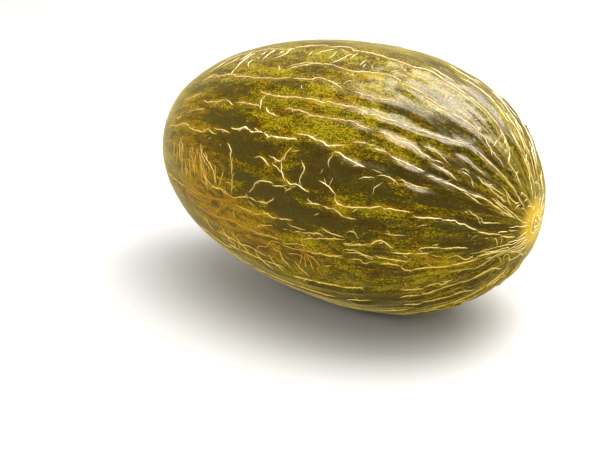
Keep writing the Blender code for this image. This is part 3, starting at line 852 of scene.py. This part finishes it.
def crack_rows(draw, turns, stations, row_turn, lengths, gaps, widths):
    """Cracks end to end, in broken rows one below the other."""
    cracks = []
    turn = turns[0]
    while turn < turns[1]:
        station = stations[0] + draw.uniform(*ROW_START)
        while station < stations[1] - lengths[0] / 2:
            length = min(draw.uniform(*lengths), stations[1] - station)
            drift = draw.uniform(*ROW_DRIFT)
            bow = draw.uniform(*ROW_BOW)
            start = turn + draw.uniform(*ROW_SHIFT)
            places = (
                (station, start),
                (station + length / 3, start + drift / 3 + bow),
                (station + 2 * length / 3, start + 2 * drift / 3),
                (station + length, start + drift),
            )
            cracks.append((draw.uniform(*widths), places))
            station += length + draw.uniform(*gaps)
        turn += row_turn * draw.uniform(*ROW_GAPS)
    return cracks


def cross_cracks(draw, stations, turns, gap, reach, slant):
    """Short cracks that run round the fruit, side by side from one station to another."""
    cracks = []
    station = stations[0]
    while station < stations[1]:
        start = draw.uniform(turns[0], turns[1] - reach / 2)
        end = start + reach * draw.uniform(*CROSS_REACH)
        lean = slant * draw.uniform(*CROSS_LEAN)
        middle = (station + lean * CROSS_BEND + draw.uniform(*CROSS_SHIFT), (start + end) / 2)
        width = CROSS_WIDTH * draw.uniform(*CROSS_WIDTHS)
        cracks.append((width, ((station, start), middle, (station + lean, end))))
        station += gap * draw.uniform(*CROSS_GAPS)
    return cracks


def solid_cracks():
    """Every crack that the solid has, as (width factor, places), in the solid's order of draws."""
    draw = random.Random(SEED)
    cracks = TOP_CRACKS + SHOULDER_CRACKS + FLANK_CRACKS + LOW_CRACKS
    for rows in (UNDER_ROWS, BACK_ROWS):
        cracks += crack_rows(draw, *rows, *LONG_CRACKS)
    for row in CROSS_ROWS:
        cracks += cross_cracks(draw, *row)
    return cracks


def sideways(line):
    """Directions across a line of points, in the rind's surface."""
    return unit_rows(np.cross(smooth_normals(*place_of(line)), np.gradient(line, axis=0)))


def stretches(draw, line, width):
    """A crack's line as overlapping stretches, each leaning across it the same way."""
    lean = draw.choice((-1, 1))
    side = sideways(line)
    found = []
    start = 0
    while start < len(line) - 1:
        end = start + draw.randrange(*STRETCH_STEPS)
        if len(line) - end < STRETCH_STEPS[0]:
            end = len(line)
        first = max(0, start - STRETCH_OVERLAP)
        shift = lean * draw.uniform(*STRETCH_LEAN) * np.linspace(-1, 1, end - first)
        found.append((width, line[first:end] + side[first:end] * shift[:, None], True))
        start = end
    return found


def spurs(draw, line, width):
    """Short spurs that leave a crack at a slant."""
    found = []
    sides = sideways(line)
    number = draw.randrange(*FIRST_SPUR)
    while number < len(line) - SPUR_MARGIN:
        forward = line[number + SPUR_ROOT] - line[number - SPUR_ROOT]
        forward /= np.linalg.norm(forward)
        length = draw.uniform(*SPUR_LENGTHS) * MM
        lean = draw.choice((-1, 1)) * draw.uniform(*SPUR_SLANTS)
        tip = line[number] + draw.choice((-1, 1)) * forward * length + sides[number] * lean * length
        line_out = evenly(np.array([line[number], tip]), CORK_STEP)
        found.append((SPUR_WIDTH * width, strayed(line_out), True))
        number += draw.randrange(*SPUR_GAPS)
    return found


def net_lines(draw, cracks, rings):
    """The net's lines: the cracks and the first ring as broken stretches, and the other rings whole."""
    (ring_width, first_ring, _), *found = rings
    found += stretches(random.Random(RING_SEED), first_ring, ring_width)
    for width, line, _ in cracks:
        found += stretches(draw, line, width)
    return found


def spur_lines(draw, cracks, short):
    """The short cracks, the rays out of both scars, and the spurs of the longer cracks."""
    found = list(short)
    for bunch in RAYS:
        found += rays(draw, *bunch)
    for width, line, _ in cracks:
        found += spurs(draw, line, width)
    return found


# Relief


class Lines:
    """Lines on the rind that can say how near each of many points is, and how wide the line is there."""

    def __init__(self, lines):
        points, shares = [], []
        for share, line, tapers in lines:
            fine = evenly(line, SAMPLE_STEP)
            points.append(fine)
            shares.append(share * tip_taper(fine) if tapers else np.full(len(fine), share))
        self.points = np.concatenate(points)
        self.shares = np.concatenate(shares)
        self.tree = kdtree.KDTree(len(self.points))
        for number, point in enumerate(self.points):
            self.tree.insert(point, number)
        self.tree.balance()

    def near(self, points):
        """Each point's gap to the nearest line, the line's share, and how far below it the point is."""
        gaps = np.empty(len(points))
        numbers = np.empty(len(points), dtype=int)
        for number, point in enumerate(points):
            _, numbers[number], gaps[number] = self.tree.find(point)
        return gaps, self.shares[numbers], round_way(self.points[numbers], points)


def off_axis(points):
    """Each point's position across the fruit's axis: to the -Y side, and up."""
    along = np.clip(points[:, 0] / HALF_LENGTH, -1, 1)
    return -points[:, 1], points[:, 2] - AXIS_HEIGHT + sag(along)


def round_way(starts, ends):
    """How far each end lies round the fruit from its start near it, the way that turns are counted."""
    side, up = off_axis(starts)
    end_side, end_up = off_axis(ends)
    return (end_side * up - end_up * side) / np.maximum(MM, np.hypot(side, up))


def tip_taper(points):
    """1 in the middle of an evenly spaced line, falling to its two tips."""
    gap = np.linalg.norm(points[1] - points[0])
    done = steps_from_tips(len(points)) * gap
    return np.minimum(1, TIP_SHARE + done / END_TAPER)


def noise_at(coordinates):
    """Smooth noise for an array of coordinates."""
    return np.array([noise.noise(Vector(row)) for row in coordinates])


def flow(along, angle):
    """Coordinates that run with the fruit: 1 is about one half width along it or round it."""
    return np.stack([along * HALF_LENGTH / HALF_WIDTH, np.cos(angle), -np.sin(angle)], axis=-1)


def fold(gap, share, below):
    """The ridge that lies just below each crack, as a share of its full height."""
    below = below - FOLD_SHIFT
    far = (gap**2 - 2 * below * FOLD_SHIFT - FOLD_SHIFT**2) / RIDGE_REACH**2
    return share * np.exp(-np.maximum(far, 0)) * (RIDGE_AT_CRACK + RIDGE_LEAN * below / RIDGE_REACH)


def swells(along, angle, points):
    """Noise for long low waves."""
    ball = np.sqrt(np.clip(1 - along**2, 0, 1))
    ways = np.stack([-ball * np.sin(angle), ball * np.cos(angle)], axis=-1) * SWELLS_ROUND
    return noise_at(np.column_stack([points[:, 0] / SWELL_LENGTH, ways]))


def wrinkles(along, angle):
    """Fine lengthwise wrinkles, deepest at the blossom end."""
    waves = flow(along, angle)
    waves[:, 0] *= HALF_WIDTH / WRINKLE_LENGTH
    waves[:, 1:] *= WRINKLES_ROUND
    return 1 - WRINKLE_EDGE * np.abs(noise_at(waves))


class Rind:
    """The rind's shape with all its relief."""

    def __init__(self, cracks, furrows):
        self.cracks = cracks
        self.furrows = furrows

    def relief(self, along, angle, points):
        """How far the rind stands out of the smooth fruit, and how near and wide the cracks are."""
        gap, share, below = self.cracks.near(points)
        furrow_gap, depth, _ = self.furrows.near(points)
        fade = 1 - smooth_step(np.abs(along), *ENDS_FADE)
        strength = STEM_HALF_STRENGTH + (1 - STEM_HALF_STRENGTH) * smooth_step(along, *STRENGTH_RISE)
        height = RIDGE_HEIGHT * strength * fade * (fold(gap, share, below) - RIDGE_MEAN)
        height += SWELL_HEIGHT * fade * swells(along, angle, points)
        height += WRINKLE_HEIGHT * fade * smooth_step(along, *WRINKLE_RISE) * wrinkles(along, angle)
        height -= depth * np.exp(-((furrow_gap / FURROW_REACH) ** 2))
        height += CORK_BED * share * np.exp(-((gap / CORK_BED_REACH) ** 2))
        dimple = DIMPLE_DEPTH * np.exp(-((girth(along) / DIMPLE_REACH) ** 2))
        height -= np.where(along < 0, dimple, 0)
        return height, gap, share

    def points(self, along, angle, lift=0.0):
        """The rind's points at places, and how near and wide the cracks are."""
        base = smooth_points(along, angle)
        normal = smooth_normals(along, angle)
        height, gap, share = self.relief(along, angle, base)
        height = height + lift
        below = normal[:, 2] < 0
        room = CLEAR_OF_FLOOR * np.maximum(base[:, 2], 0) / np.maximum(-normal[:, 2], TINY)
        height = np.where(below, np.clip(height, -room, room), height)
        raised = base + normal * height[:, None]
        raised[:, 2] = np.maximum(raised[:, 2], 0)
        return raised, gap, share


def patches_at(along, angle, patches):
    """The sum of soft patches at arrays of places."""
    station = along * HALF_LENGTH / MM
    turn = np.degrees(angle) % 360
    total = np.zeros_like(station)
    for strength, ((patch_station, patch_turn), (half_length, half_turn)) in patches:
        across = (turn - patch_turn + 180) % 360 - 180
        far = ((station - patch_station) / half_length) ** 2 + (across / half_turn) ** 2
        total += strength * np.exp(-PATCH_FALL * far)
    return total


def warmth(along, angle):
    """How orange the rind and its cork are: most on the lower flank of the stem half."""
    return np.clip(patches_at(along, angle, WARM_PATCHES), 0, 1)


# Building the pieces


def placed(name, data):
    """A new object in the scene."""
    made = bpy.data.objects.new(name, data)
    bpy.context.scene.collection.objects.link(made)
    return made


def new_mesh(name, points, faces, material):
    """A smooth mesh object from arrays of points and faces."""
    mesh = bpy.data.meshes.new(name)
    mesh.from_pydata(points.tolist(), [], faces)
    mesh.validate()
    mesh.shade_smooth()
    mesh.materials.append(material)
    return placed(name, mesh)


def put_values(piece, name, values):
    """Stores one number or one vector for each point of a piece."""
    kind, field = ("FLOAT", "value") if values.ndim == 1 else ("FLOAT_VECTOR", "vector")
    layer = piece.data.attributes.new(name, kind, "POINT")
    layer.data.foreach_set(field, values.astype(np.float32).ravel())


def row_alongs():
    """Shares of the half length for rows that are evenly spaced over the rind, ends left out."""
    fine = np.sin(np.linspace(-math.pi / 2, math.pi / 2, ROW_SAMPLES))
    lengths = lengths_along(smooth_points(fine, np.zeros_like(fine)))
    return np.interp(np.linspace(0, lengths[-1], RIND_ROWS + 2)[1:-1], lengths, fine)


def rind_faces():
    """The rind's faces: bands from row to row, and a fan round the last two points, the tips."""
    faces = []
    for start in range(0, (RIND_ROWS - 1) * RIND_COLUMNS, RIND_COLUMNS):
        for column in range(RIND_COLUMNS):
            a, b = start + column, start + (column + 1) % RIND_COLUMNS
            faces.append((a, a + RIND_COLUMNS, b + RIND_COLUMNS, b))
    stem = RIND_ROWS * RIND_COLUMNS
    last = stem - RIND_COLUMNS
    for column in range(RIND_COLUMNS):
        after = (column + 1) % RIND_COLUMNS
        faces.append((stem, column, after))
        faces.append((stem + 1, last + after, last + column))
    return faces


def build_rind(rind, shift, material):
    """The fine rind, as rows of points from end to end, closed at both ends."""
    alongs = np.concatenate([np.repeat(row_alongs(), RIND_COLUMNS), [-1, 1]])
    angles = np.tile(np.arange(RIND_COLUMNS) * 2 * math.pi / RIND_COLUMNS, RIND_ROWS)
    angles = np.concatenate([angles, [0, 0]])
    points, gap, share = rind.points(alongs, angles)
    piece = new_mesh("rind", points + shift, rind_faces(), material)
    # Tone and painted shade: the mottling's listed patches, with broad patches of painted shade low on
    # the flank and under the fruit
    tone_and_shade = patches_at(alongs, angles, TONE_AND_SHADE_PATCHES)
    put_values(piece, "flow", flow(alongs, angles))
    put_values(piece, "halo", np.clip(share, 0, HALO_MOST) * np.exp(-((gap / HALO_REACH) ** 2)))
    put_values(piece, "tone_and_shade", np.clip(tone_and_shade, -TONE_AND_SHADE_LIMIT, TONE_AND_SHADE_LIMIT))
    put_values(piece, "warm", warmth(alongs, angles))
    put_values(piece, "blossom", np.where(alongs > 0, girth(alongs), OTHER_HALF) / MM)
    put_values(piece, "stem", np.where(alongs < 0, girth(alongs), OTHER_HALF) / MM)
    return piece


def waves_along(line, share, waves, shift=(0, 0, 0)):
    """A factor near 1 for each point of a line, from smooth noise."""
    return np.array([1 + share * noise.noise(Vector(point) * waves + Vector(shift)) for point in line])


def strip(rind, line, width, tapers):
    """Points of one cork strip: rings of its section along the line, each ring in order."""
    along, angle = place_of(line)
    ahead = np.roll(line, -1, axis=0) - np.roll(line, 1, axis=0)
    taper = np.ones(len(line))
    if tapers:
        ahead[0], ahead[-1] = line[1] - line[0], line[-1] - line[-2]
        fewest, most = TAPER_STEPS
        taper_steps = min(most, max(fewest, len(line) / 2))
        taper = np.minimum(1, STRIP_TIP + steps_from_tips(len(line)) / taper_steps)
    side = unit_rows(np.cross(smooth_normals(along, angle), ahead))
    thinned = 1 - WARM_THINNING * warmth(along, angle)
    half = CORK_HALF_WIDTH * width * taper * waves_along(line, *WIDTH_WAVES) * thinned
    swell = waves_along(line, *HEIGHT_WAVES)
    high = CORK_HEIGHT * (PLAIN_HEIGHT + (1 - PLAIN_HEIGHT) * width) * taper * swell
    rings = []
    for across, up in CORK_SECTION:
        lift = high * up if up > 0 else CORK_SUNK * up
        points, _, _ = rind.points(*place_of(line + side * (half * across)[:, None]), lift=lift)
        rings.append(points)
    return np.stack(rings, axis=1)


def strip_faces(start, count, tapers):
    """The faces of a strip of so many rings, closed at its tips, or joined to a loop."""
    corners = len(CORK_SECTION)
    faces = []
    for number in range(count - 1 if tapers else count):
        here = start + number * corners
        there = start + ((number + 1) % count) * corners
        for corner in range(corners):
            after = (corner + 1) % corners
            faces.append((here + corner, here + after, there + after, there + corner))
    if tapers:
        last = start + (count - 1) * corners
        faces.append(tuple(range(start, start + corners))[::-1])
        faces.append(tuple(range(last, last + corners)))
    return faces


def build_strips(name, rind, lines, shift, material):
    """One piece of closed strips, one for each line."""
    points, faces = [], []
    start = 0
    for width, line, tapers in lines:
        rings = strip(rind, line, width, tapers)
        if rings[..., 2].min() < FLOOR_ROOM:
            continue
        faces += strip_faces(start, len(rings), tapers)
        points.append(rings.reshape(-1, 3))
        start += len(points[-1])
    points = np.concatenate(points)
    piece = new_mesh(name, points + shift, faces, material)
    put_values(piece, "warm", warmth(*place_of(points)))
    return piece


# Materials


def fill(tree, node, inputs):
    """Sets or links a node's inputs."""
    for name, value in inputs.items():
        socket = node.inputs[name]
        if isinstance(value, bpy.types.NodeSocket):
            tree.links.new(value, socket)
        else:
            socket.default_value = (*value, 1) if socket.type == "RGBA" else value


def add(tree, kind, inputs, **settings):
    """Adds a node, sets its settings, and sets or links its inputs."""
    made = tree.nodes.new(kind)
    for name, value in settings.items():
        setattr(made, name, value)
    fill(tree, made, inputs)
    return made


def maths(tree, operation, a, b, c=0.0):
    """The result of a Math node on sockets or numbers."""
    return add(tree, "ShaderNodeMath", {0: a, 1: b, 2: c}, operation=operation).outputs[0]


def times(tree, a, b):
    """Two values multiplied."""
    return maths(tree, "MULTIPLY", a, b)


def scaled(tree, value, factor, more=0.0):
    """A value times a factor, and more added to it."""
    return maths(tree, "MULTIPLY_ADD", value, factor, more)


def noise_value(tree, vector, scale, shift, detail, roughness, distortion=0.0):
    """A noise's value at a coordinate that is scaled and shifted."""
    moved = add(tree, "ShaderNodeMapping", {"Vector": vector, "Scale": scale, "Location": shift})
    look = {"Scale": 1.0, "Detail": detail, "Roughness": roughness, "Distortion": distortion}
    return add(tree, "ShaderNodeTexNoise", {"Vector": moved.outputs["Vector"], **look}).outputs["Fac"]


def attribute(tree, name, output="Fac"):
    """A value that the mesh carries."""
    return add(tree, "ShaderNodeAttribute", {}, attribute_name=name).outputs[output]


def part_of(tree, vector, axis):
    """One axis of a vector."""
    return add(tree, "ShaderNodeSeparateXYZ", {"Vector": vector}).outputs[axis]


def ramp(tree, value, stops):
    """A colour ramp's colour; the stops are (position, colour)."""
    made = add(tree, "ShaderNodeValToRGB", {"Fac": value})
    elements = made.color_ramp.elements
    while len(elements) < len(stops):
        elements.new(0.5)
    for element, (position, colour) in zip(elements, stops):
        element.position = position
        element.color = (*colour, 1)
    return made.outputs["Color"]


def span(tree, value, low, high, to_low=0.0, to_high=1.0):
    """A value, moved from one range to another with its ends held."""
    inputs = {"Value": value, 1: low, 2: high, 3: to_low, 4: to_high}
    return add(tree, "ShaderNodeMapRange", inputs, clamp=True, interpolation_type="SMOOTHSTEP").outputs[0]


def mixed(tree, share, colour, other, way="MIX"):
    """A colour mixed with another, or multiplied by it, by a share."""
    inputs = {0: share, MIX_COLOUR: colour, MIX_OTHER: other}
    return add(tree, "ShaderNodeMix", inputs, data_type="RGBA", blend_type=way).outputs[MIX_RESULT]


def bumps(tree, height, strength, depth):
    """A normal that is bent by small bumps."""
    inputs = {"Height": height, "Strength": strength, "Distance": depth}
    return add(tree, "ShaderNodeBump", inputs).outputs["Normal"]


def blank_material(name):
    """A material with its node tree and its shader."""
    material = bpy.data.materials.new(name)
    material.use_nodes = True
    tree = material.node_tree
    return material, tree, tree.nodes["Principled BSDF"]


def mottling(tree, way, large, middle, streak, fine, grain):
    """How light the skin is from patch to patch, with painted shade low on the flank and under the fruit,
    and the colour of its specks and patches.
    """
    along = part_of(tree, way, "X")
    level = scaled(tree, attribute(tree, "tone_and_shade"), TONE_AND_SHADE_PART, scaled(tree, large, *LARGE_PART))
    level = scaled(tree, middle, MIDDLE_PART, maths(tree, "ADD", level, MIDDLE_REST))
    level = scaled(tree, scaled(tree, streak, *STREAK_PART), span(tree, along, *STREAKY), level)
    toward_blossom = span(tree, along, *TOWARD_BLOSSOM)
    busy = span(tree, level, *BUSY, scaled(tree, toward_blossom, *BUSY_IN_DARK), 1.0)
    speck = scaled(tree, grain, 1.0, scaled(tree, fine, *FINE_PART))
    colour = ramp(tree, scaled(tree, speck, busy, level), RIND_STOPS)
    calm = span(tree, level, *CALM, scaled(tree, toward_blossom, *CALM_IN_DARK), 0.0)
    calm = times(tree, calm, span(tree, fine, *CALM_SPECKS))
    return level, mixed(tree, calm, colour, CALM_OLIVE)


def scar_colours(tree, colour, middle, streak, fine):
    """The skin's colour, with the other colours round the two scars."""
    blossom, stem = attribute(tree, "blossom"), attribute(tree, "stem")
    for texture, distance, (ragged, bounds), shade in (
        (streak, blossom, GOLD_TIP, GOLD),
        (fine, blossom, BURNT_PIT, BURNT),
        (middle, stem, TAN_STALK, TAN),
        (fine, stem, BARK_CORE, BARK),
    ):
        colour = mixed(tree, span(tree, scaled(tree, texture, ragged, distance), *bounds), colour, shade)
    return colour


def rind_material():
    """The waxy skin: smooth dark patches among speckled yellow-green ones, with warmer crack edges."""
    material, tree, shader = blank_material("rind")
    way = attribute(tree, "flow", "Vector")
    large, middle, streak, fine, grain, hue = (noise_value(tree, way, *look) for look in RIND_NOISES)
    level, colour = mottling(tree, way, large, middle, streak, fine, grain)
    colour = mixed(tree, span(tree, hue, *BROWN_PARTS), colour, BROWN_TINT, "MULTIPLY")
    colour = mixed(tree, span(tree, hue, *GREEN_PARTS), colour, GREEN_TINT, "MULTIPLY")
    edge = times(tree, attribute(tree, "halo"), span(tree, level, *CRACK_EDGES))
    colour = mixed(tree, edge, colour, OCHRE)
    rusty = times(tree, attribute(tree, "warm"), span(tree, middle, *RUSTY_PARTS))
    colour = scar_colours(tree, mixed(tree, rusty, colour, RUST), middle, streak, fine)
    relief = bumps(tree, scaled(tree, middle, MIDDLE_BUMPS, fine), *RIND_BUMPS)
    gloss = span(tree, middle, *GLOSS)
    fill(tree, shader, {"Base Color": colour, "Roughness": gloss, "Normal": relief, **WAX})
    return material


def cork_material(name, light, dark):
    """Dry cork, paler on some stretches than on others, and orange where the rind is."""
    material, tree, shader = blank_material(name)
    place = add(tree, "ShaderNodeTexCoord", {}).outputs["Object"]
    broad, fine = (noise_value(tree, place, *look) for look in CORK_NOISES)
    share = scaled(tree, broad, BROAD_CORK, scaled(tree, fine, FINE_CORK))
    colour = ramp(tree, share, tuple(zip(CORK_STOPS, (dark, light))))
    colour = mixed(tree, span(tree, part_of(tree, place, "Z"), *GOLDEN_CORK), colour, GOLDEN)
    colour = mixed(tree, times(tree, attribute(tree, "warm"), AMBER_CORK), colour, AMBER)
    relief = bumps(tree, fine, *CORK_BUMPS)
    fill(tree, shader, {"Base Color": colour, "Roughness": CORK_ROUGHNESS, "Normal": relief})
    return material


# Camera, floor and light


def aimed(name, data, place, direction):
    """A new camera or lamp at a place, facing a direction."""
    made = placed(name, data)
    made.location = place
    made.rotation_mode = "QUATERNION"
    made.rotation_quaternion = direction.to_track_quat("-Z", "Y")
    return made


def place_camera(middle):
    """A camera that sees the fruit's middle at its pixel of the photograph."""
    yaw, pitch = math.radians(CAMERA_YAW), math.radians(CAMERA_PITCH)
    right = Vector((math.cos(yaw), math.sin(yaw), 0))
    back = Vector((math.sin(yaw) * math.cos(pitch), -math.cos(yaw) * math.cos(pitch), math.sin(pitch)))
    up = back.cross(right)
    focal = LENS / SENSOR * PHOTO_WIDTH
    x, y = AXIS_MIDDLE_PIXEL
    sight = right * (x - PHOTO_WIDTH / 2) / focal + up * (PHOTO_HEIGHT / 2 - y) / focal - back
    data = bpy.data.cameras.new("camera")
    data.lens = LENS
    data.sensor_width = SENSOR
    place = middle - sight.normalized() * CAMERA_DISTANCE
    bpy.context.scene.camera = aimed("camera", data, place, -back)


def soft_box(name, place, target, size, power, hiding):
    """A rectangular lamp that faces a point, hidden from one kind of ray."""
    data = bpy.data.lights.new(name, "AREA")
    data.shape = "RECTANGLE"
    data.size, data.size_y = size
    data.energy = power
    data.color = LAMP_COLOUR
    lamp = aimed(name, data, place, Vector(target) - Vector(place))
    setattr(lamp, hiding, False)


def build_world():
    """Plain ambient light, brighter behind the fruit than on the camera's side."""
    world = bpy.data.worlds.new("studio")
    world.use_nodes = True
    tree = world.node_tree
    way = add(tree, "ShaderNodeTexCoord", {}).outputs["Generated"]
    strength = span(tree, part_of(tree, way, "Y"), *WORLD_STRENGTH)
    fill(tree, tree.nodes["Background"], {"Color": WORLD_COLOUR, "Strength": strength})
    bpy.context.scene.world = world


def build_floor():
    """A plain pale floor."""
    material, tree, shader = blank_material("floor")
    fill(tree, shader, FLOOR_LOOK)
    corners = FLOOR_HALF * np.array([(-1, -1, 0), (1, -1, 0), (1, 1, 0), (-1, 1, 0)])
    floor = new_mesh("floor", corners, [(0, 1, 2, 3)], material)


# The whole scene


def middle_of(body):
    """Where the fruit's own frame, with its middle at 0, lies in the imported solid's."""
    foot = [vertex.co.y for vertex in body.data.vertices if vertex.co.z < FOOT_HEIGHT]
    return np.array([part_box("melon")[1].x - HALF_LENGTH, (min(foot) + max(foot)) / 2, 0])


def build_melon(shift):
    """The rind and the three pieces of cork strips on it."""
    cracks = routed(solid_cracks())
    rings = [ring(*row) for row in RINGS]
    thin = crack_rows(random.Random(THIN_SEED), *THIN_ROWS, *THIN_CRACKS)
    short = routed(FINE_CRACKS + END_CRACKS + thin)
    hair = routed(HAIR_CRACKS, HAIR_WIDTH)
    low = [(SHORT_CRACK_SHARE * width, line, tapers) for width, line, tapers in short + hair]
    rind = Rind(Lines(cracks + rings + low), Lines(routed(FURROWS, MM)))

    draw = random.Random(STRIP_SEED)
    net = net_lines(draw, cracks, rings)
    thin_lines = spur_lines(draw, cracks, short)
    skin = build_rind(rind, shift, rind_material())
    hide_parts("melon")
    pieces = (
        skin,
        build_strips("cork_net", rind, net, shift, cork_material("cork", CREAM, TAN)),
        build_strips("cork_spurs", rind, thin_lines, shift, cork_material("cork_spurs", CREAM, TAN)),
        build_strips("cork_hairs", rind, hair, shift, cork_material("cork_hairs", AMBER, RUST)),
    )
    for piece in pieces:
        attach(piece, "root")


def main():
    """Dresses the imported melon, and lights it."""
    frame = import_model()
    noise.seed_set(SEED)
    shift = middle_of(frame["nodes"]["melon"])
    build_melon(shift)
    place_camera(Vector((shift[0], shift[1], AXIS_HEIGHT)))
    build_floor()
    build_world()
    for lamp in LAMPS:
        soft_box(*lamp)
    bpy.context.scene.view_settings.view_transform = "Standard"


main()
